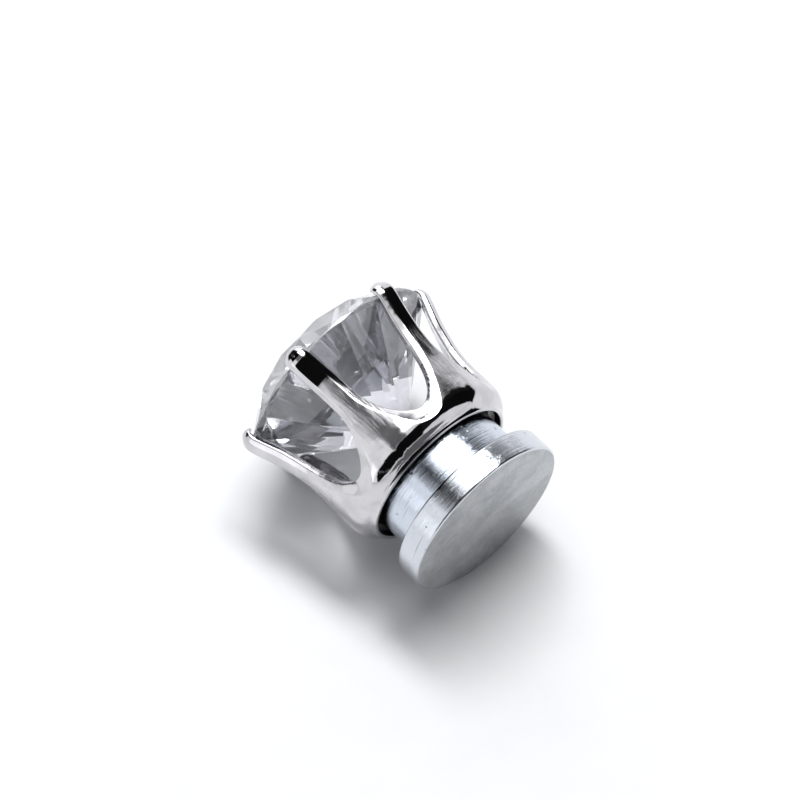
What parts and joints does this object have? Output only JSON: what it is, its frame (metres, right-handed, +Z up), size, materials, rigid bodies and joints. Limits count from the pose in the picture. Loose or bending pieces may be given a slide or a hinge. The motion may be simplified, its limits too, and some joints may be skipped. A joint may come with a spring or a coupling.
{
  "type": "magnetic stud earring",
  "caption": "Stud earring of a round brilliant stone in a claw cup, held on the ear lobe by disc magnets.",
  "frame": {"origin": "centre of the bounding box, on the surface that the earring lies on", "axes": "+Z up, +Y along the earring towards the back magnet (its axis leans a few degrees down towards +Y as it lies), -Y where the stone's table faces, +X towards the picture's camera"},
  "size_m": [0.0066, 0.0071, 0.0059],
  "materials": {
    "claw_cup": "polished silver-coloured plating",
    "stone": "clear cut crystal, polished facets",
    "front_magnet": "nickel plating, finely scratched round the side",
    "back_magnet": "nickel plating, satin face, scratched round the side"
  },
  "bodies": {
    "back": {"back_magnet": "back_magnet"},
    "front": {"claw_cup": "claw_cup", "stone": "stone", "front_magnet": "front_magnet"}
  },
  "joints": [
    {"name": "magnet_pull", "type": "slide", "parent": "back", "child": "front", "axis": [0, -0.9968, 0.0805], "range_m": [0, 0.006], "stiffness_N_per_m": 4, "springref_m": -0.005}
  ]
}
